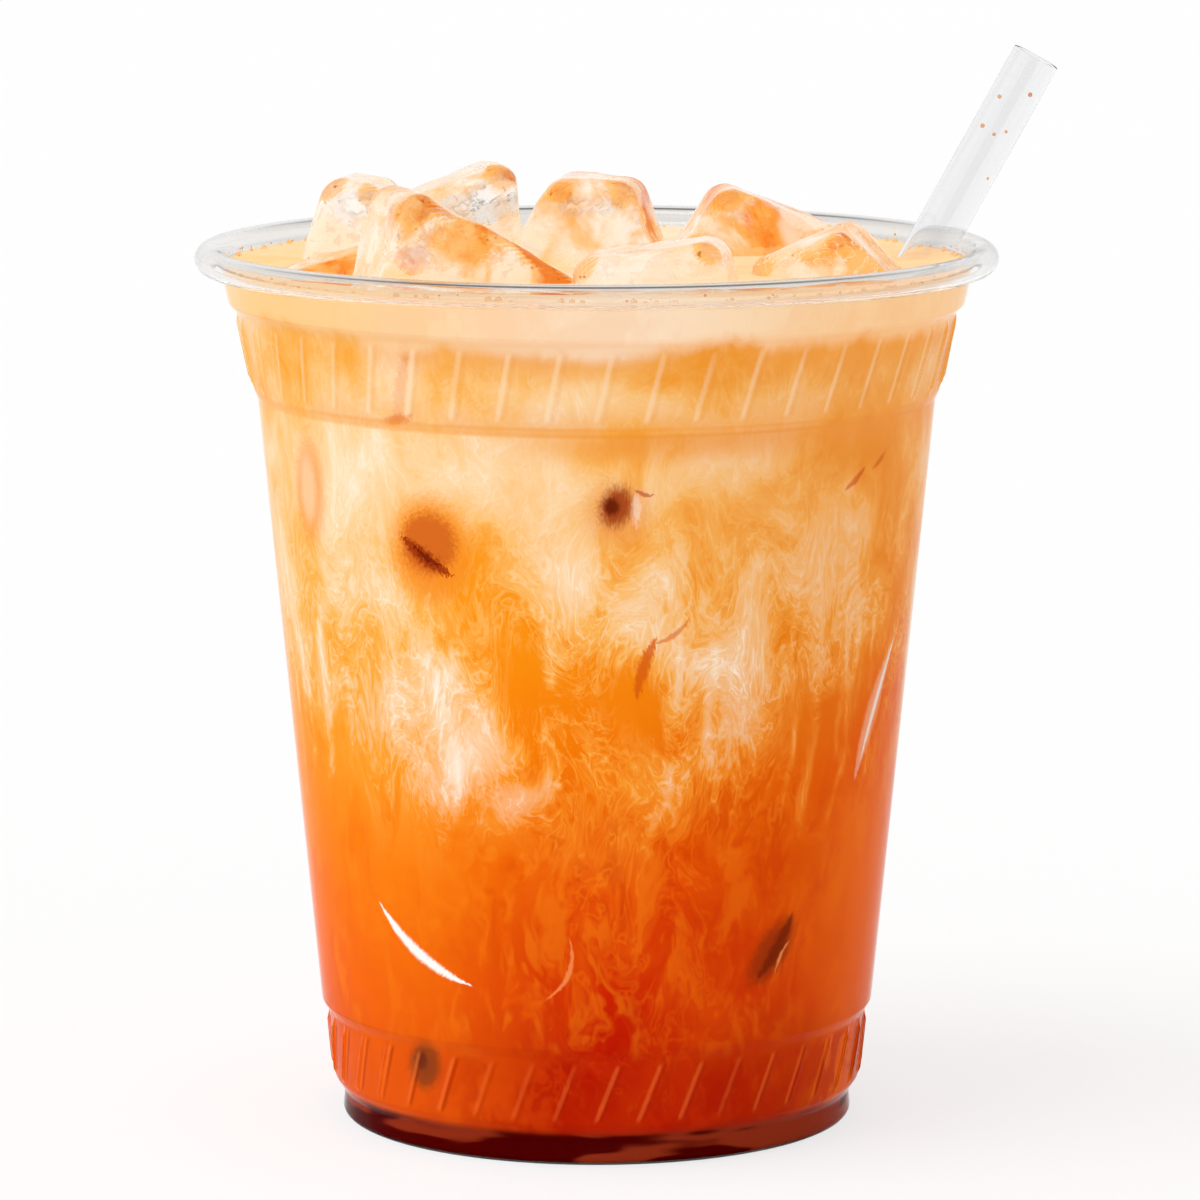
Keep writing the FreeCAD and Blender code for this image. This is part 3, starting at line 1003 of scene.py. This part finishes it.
def ice_finish():
    """Wet ice, cloudy in places, with a film of tea that gathers on its edges."""
    finish = new_finish("wet ice")
    place = finish.object_place()
    film = finish.attribute("film")
    edge = finish.attribute("edge")
    patches = finish.grain(place, 100.0, 3.0, 0.55, 0.9)
    fine = finish.grain(place, 420.0, 4.0, 0.6, 1.0)
    cracks = abs(finish.grain(place, 230.0, 3.0, 0.5, 1.2) * 2 - 1).rise(0.035, 0.0)
    frost = finish.grain(place, 80.0, 4.0, 0.6, 0.8).rise(0.44, 0.58)
    ridge = edge.rise(0.4, 0.85)
    wet = film + ridge * 0.6 + ((patches - 0.5) * 4.5 + (fine - 0.5) * 0.5) * (film + 0.25)
    tea = wet.rise(0.2, 0.65)
    thick = (wet - (fine - 0.5) * 1.2).rise(0.72, 1.3)
    white = finish.blend(fine.rise(0.52, 0.62) * 0.6, tone(255, 252, 248), tone(206, 196, 188))
    colour = finish.blend(tea, white, tone(252, 176, 70))
    colour = finish.blend(thick, colour, tone(243, 124, 14))
    colour = finish.blend(edge.rise(0.75, 1.0) * tea * 0.5, colour, tone(206, 98, 26))
    specks = finish.grain(place, 1000.0, 2.0, 0.5).rise(0.67, 0.72) * edge.rise(0.2, 0.6)
    colour = finish.blend(specks * 0.6, colour, tone(150, 62, 18))
    cracks = cracks * finish.attribute("cracked")
    colour = finish.blend(cracks * 0.7, colour, tone(255, 246, 236))
    ripple = finish.bump(finish.grain(place, 300.0, 3.0, 0.5, 0.6), 0.3, 0.001)
    clear = finish.shader(
        Base_Color=finish.blend(tea, (1.0, 1.0, 1.0, 1.0), tone(254, 228, 180)),
        Roughness=0.03,
        IOR=1.31,
        Transmission_Weight=1.0,
        Normal=ripple,
    )
    film_on_it = finish.shader(
        Base_Color=colour, Roughness=0.15, IOR=1.33, Specular_IOR_Level=0.2, Normal=ripple
    )
    cloudy = tea * 0.4 + thick * 0.5 + cracks * 0.25 + specks * 0.5
    cloudy = cloudy + frost * (1.0 - tea) * 0.4 + 0.05
    return finish.surface(
        finish.lets_light_by(finish.mix(cloudy.most(0.0).least(0.95), clear, film_on_it))
    )


# ---- the straw ----------------------------------------------------------------------------------
def straw_line():
    """Lower and upper end of the straw's axis, found from its own solid."""
    co = np.array([v.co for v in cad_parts["straw"].data.vertices], float) / MM
    centre = (co.max(0) + co.min(0)) / 2
    _, _, axes = np.linalg.svd(co - co.mean(0), full_matrices=False)
    axis = axes[0] if axes[0][2] > 0 else -axes[0]
    along = (co - centre) @ axis
    middle = co - np.outer(along, axis)
    middle = (middle.max(0) + middle.min(0)) / 2
    return middle + axis * along.min(), middle + axis * along.max()


def make_straw(finish):
    low, high = (Vector(end) for end in straw_line())
    axis = (high - low).normalized()
    side = axis.orthogonal().normalized()
    other = axis.cross(side)
    length = (high - low).length
    inner, outer, edge = STRAW_RADIUS - STRAW_WALL, STRAW_RADIUS, 0.06
    # each end is a little rounded, and a ring of points just inside it keeps the wall straight
    end = [
        (inner, edge * 4),
        (inner, edge),
        (inner + edge, 0),
        (outer - edge, 0),
        (outer, edge),
        (outer, edge * 4),
    ]
    outline = end + [(radius, length - along) for radius, along in reversed(end)]
    around = 72
    points, faces = [], []
    for radius, along in outline:
        for step in range(around):
            angle = 2 * math.pi * step / around
            points.append(
                low + axis * along + (side * math.cos(angle) + other * math.sin(angle)) * radius
            )
    rings = len(outline)
    for ring in range(rings):
        for step in range(around):
            a = ring * around + step
            b = ring * around + (step + 1) % around
            c = ((ring + 1) % rings) * around + (step + 1) % around
            d = ((ring + 1) % rings) * around + step
            faces.append((a, b, c, d))
    return outward(new_piece("clear_straw", points, faces, finish))


def straw_finish():
    finish = new_finish("clear polypropylene")
    place = finish.object_place()
    haze = finish.grain(place, 60.0, 2.0)
    glass = finish.shader(
        Base_Color=(0.965, 0.965, 0.97, 1.0),
        Roughness=0.04,
        IOR=1.49,
        Transmission_Weight=1.0,
        Normal=finish.bump(haze, 0.1, 0.0005),
    )
    return finish.surface(finish.lets_light_by(glass))


# ---- droplets and bubbles -----------------------------------------------------------------------
def beads_tree():
    """Geometry nodes that scatter small flattened beads over a carrier's faces."""
    nodes = Shaping("scatter beads", ("Density", "Smallest", "Largest", "Flatness"), ("Seed",))
    given = nodes.given
    points = nodes.add(
        "GeometryNodeDistributePointsOnFaces",
        {"distribute_method": "RANDOM"},
        {"Mesh": given["Geometry"], "Density": given["Density"], "Seed": given["Seed"]},
    )
    turned = Signal(nodes, points.socket.node.outputs["Rotation"])
    size = nodes.add(
        "FunctionNodeRandomValue",
        {"data_type": "FLOAT"},
        {2: given["Smallest"], 3: given["Largest"], "Seed": given["Seed"]},
        output=1,
    )
    scale = nodes.add("ShaderNodeCombineXYZ", None, {0: size, 1: size, 2: size * given["Flatness"]})
    bead = nodes.add(
        "GeometryNodeMeshUVSphere", None, {"Segments": 8, "Rings": 5, "Radius": 1.0}
    )
    placed = nodes.add(
        "GeometryNodeInstanceOnPoints",
        None,
        {"Points": points, "Instance": bead, "Rotation": turned, "Scale": scale},
    )
    return nodes.result(placed)


def band(axis_low, axis_high, radius, low, high, start=0, stop=360):
    """Points and faces of a strip round an axis, from low to high along it, in millimetres."""
    axis = (axis_high - axis_low).normalized()
    side = Vector((0, -1, 0)) - axis * axis.dot(Vector((0, -1, 0)))
    side.normalize()
    other = axis.cross(side)
    steps = 48
    points = []
    for step in range(steps + 1):
        angle = math.radians(start + (stop - start) * step / steps)
        out = (side * math.cos(angle) + other * math.sin(angle)) * radius
        points += [axis_low + axis * low + out, axis_low + axis * high + out]
    faces = [(2 * i, 2 * i + 2, 2 * i + 3, 2 * i + 1) for i in range(steps)]
    return points, faces


def make_beads(name, strip, finish, tree, density, sizes, flatness, seed):
    piece = new_piece(name, *strip, finish)
    apply_tree(
        piece,
        tree,
        {
            "Density": density,
            "Smallest": sizes[0] * MM,
            "Largest": sizes[1] * MM,
            "Flatness": flatness,
            "Seed": seed,
            "Finish": finish,
        },
    )
    piece.data.shade_smooth()
    return piece


def bead_finish(name, colour, share):
    """A bead of liquid: clear for the rest of the share."""
    finish = new_finish(name)
    speckle = finish.grain(finish.object_place(), 300.0, 2.0)
    tint = finish.blend(speckle, colour, tone(255, 224, 180))
    clear = finish.shader(Base_Color=tint, Roughness=0.03, IOR=1.33, Transmission_Weight=1.0)
    solid = finish.shader(Base_Color=tint, Roughness=0.15, IOR=1.33)
    return finish.surface(finish.lets_light_by(finish.mix(share, clear, solid)))


# ---- stage --------------------------------------------------------------------------------------
def make_camera():
    data = bpy.data.cameras.new("camera")
    camera = bpy.data.objects.new("camera", data)
    bpy.context.scene.collection.objects.link(camera)
    camera.location = (0.0004, -0.8222, 0.1924)
    camera.rotation_euler = (math.radians(90 - 8.88), 0, 0)
    data.lens = 202.6
    data.sensor_width = 36.0
    data.clip_start = 0.01
    data.clip_end = 50.0
    bpy.context.scene.camera = camera


def make_sun(name, towards, width, strength):
    """A broad lamp far away in a direction, as many degrees wide."""
    data = bpy.data.lights.new(name, "SUN")
    data.angle = math.radians(width)
    data.energy = strength
    lamp = bpy.data.objects.new(name, data)
    bpy.context.scene.collection.objects.link(lamp)
    lamp.location = towards
    lamp.rotation_euler = Vector(towards).to_track_quat("Z", "Y").to_euler()
    lamp.visible_glossy = False
    return lamp


def make_stage():
    paper = new_finish("pale floor")
    tooth = paper.grain(paper.object_place(), 4.0, 2.0)
    colour = paper.blend(tooth, (0.895, 0.895, 0.895, 1.0), (0.905, 0.905, 0.905, 1.0))
    matt = paper.shader(Base_Color=colour, Roughness=0.8, Specular_IOR_Level=0.0)
    white = paper.add("ShaderNodeEmission", None, {"Color": (0.99, 0.99, 0.99, 1.0)})
    seen = paper.add("ShaderNodeLightPath", output="Is Camera Ray")
    for kind in ("Glossy", "Transmission"):
        seen = seen + paper.add("ShaderNodeLightPath", output="Is %s Ray" % kind)
    floor = new_piece(
        "floor",
        [(-4000, -4000, -0.02), (4000, -4000, -0.02), (4000, 4000, -0.02), (-4000, 4000, -0.02)],
        [(0, 1, 2, 3)],
        paper.surface(paper.mix(seen.least(1.0) * 0.7, matt, white)),
    )

    world = bpy.data.worlds.new("studio")
    bpy.context.scene.world = world
    sky = Finish(world)
    _, y, up = sky.parts(sky.add("ShaderNodeTexCoord", output="Generated"))
    # a white room; what glass mirrors or bends from overhead or from the near side is dark
    path = [
        sky.add("ShaderNodeLightPath", output="Is %s Ray" % kind)
        for kind in ("Camera", "Glossy", "Transmission")
    ]
    sharp = (path[1] + path[2]).least(1.0)
    dark = (y.rise(-0.1, -0.6) * 0.85).most(up.rise(0.3, 0.75) * 0.8)
    level = (0.94 - up.rise(0.55, 0.95) * 0.45) * (1.0 - dark * sharp)
    level = level + path[0] * (1.0 - level)
    light = sky.add(
        "ShaderNodeBackground", None, {"Color": (1.0, 1.0, 1.0, 1.0), "Strength": level}
    )
    sky.add("ShaderNodeOutputWorld", None, {"Surface": light})

    make_sun("key", (-0.62, -0.3, 1.25), 40, 1.3)
    bpy.context.scene.view_settings.view_transform = "Standard"


# ---- everything ---------------------------------------------------------------------------------
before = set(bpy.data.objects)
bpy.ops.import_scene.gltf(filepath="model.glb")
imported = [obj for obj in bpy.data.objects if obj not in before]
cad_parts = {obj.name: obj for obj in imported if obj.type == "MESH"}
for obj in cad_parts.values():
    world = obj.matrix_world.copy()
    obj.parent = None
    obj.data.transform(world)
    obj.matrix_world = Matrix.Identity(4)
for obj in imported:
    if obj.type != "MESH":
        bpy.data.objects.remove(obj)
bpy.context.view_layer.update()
make_camera()
make_stage()

cup = make_cup(cup_finish())
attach(cup, "root")
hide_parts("cup")

drink = make_drink(drink_finish())
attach(drink, "root")
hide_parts("tea", "milk")

straw = make_straw(straw_finish())
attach(straw, "root")
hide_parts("straw")

wet = ice_finish()
for number, node in enumerate(sorted(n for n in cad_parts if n.startswith("ice_"))):
    cube = make_ice(node, wet, number)
    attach(cube, "root")
    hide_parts(node)

scatter = beads_tree()
low, high = (Vector(end) for end in straw_line())
length = (high - low).length
upright = (Vector((0, 0, 0)), Vector((0, 0, 1)))
amber = bead_finish("drops of tea", tone(214, 122, 44), 0.45)
foam = bead_finish("milk bubbles", tone(250, 206, 150), 0.35)
for name, strip, finish, density, sizes, flatness, seed in (
    (
        "straw_drops",
        band(low, high, STRAW_RADIUS - STRAW_WALL, length - 18, length - 3, -60, 60),
        amber, 1.6e5, (0.16, 0.34), 0.6, 4,
    ),
    ("wall_drops", band(*upright, 45.55, 105.7, 106.6), amber, 1.5e5, (0.1, 0.24), 0.5, 7),
    ("edge_bubbles", band(*upright, 45.0, 105.55, 105.95), foam, 9e5, (0.2, 0.5), 0.8, 3),
):
    beads = make_beads(name, strip, finish, scatter, density, sizes, flatness, seed)
    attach(beads, "root")
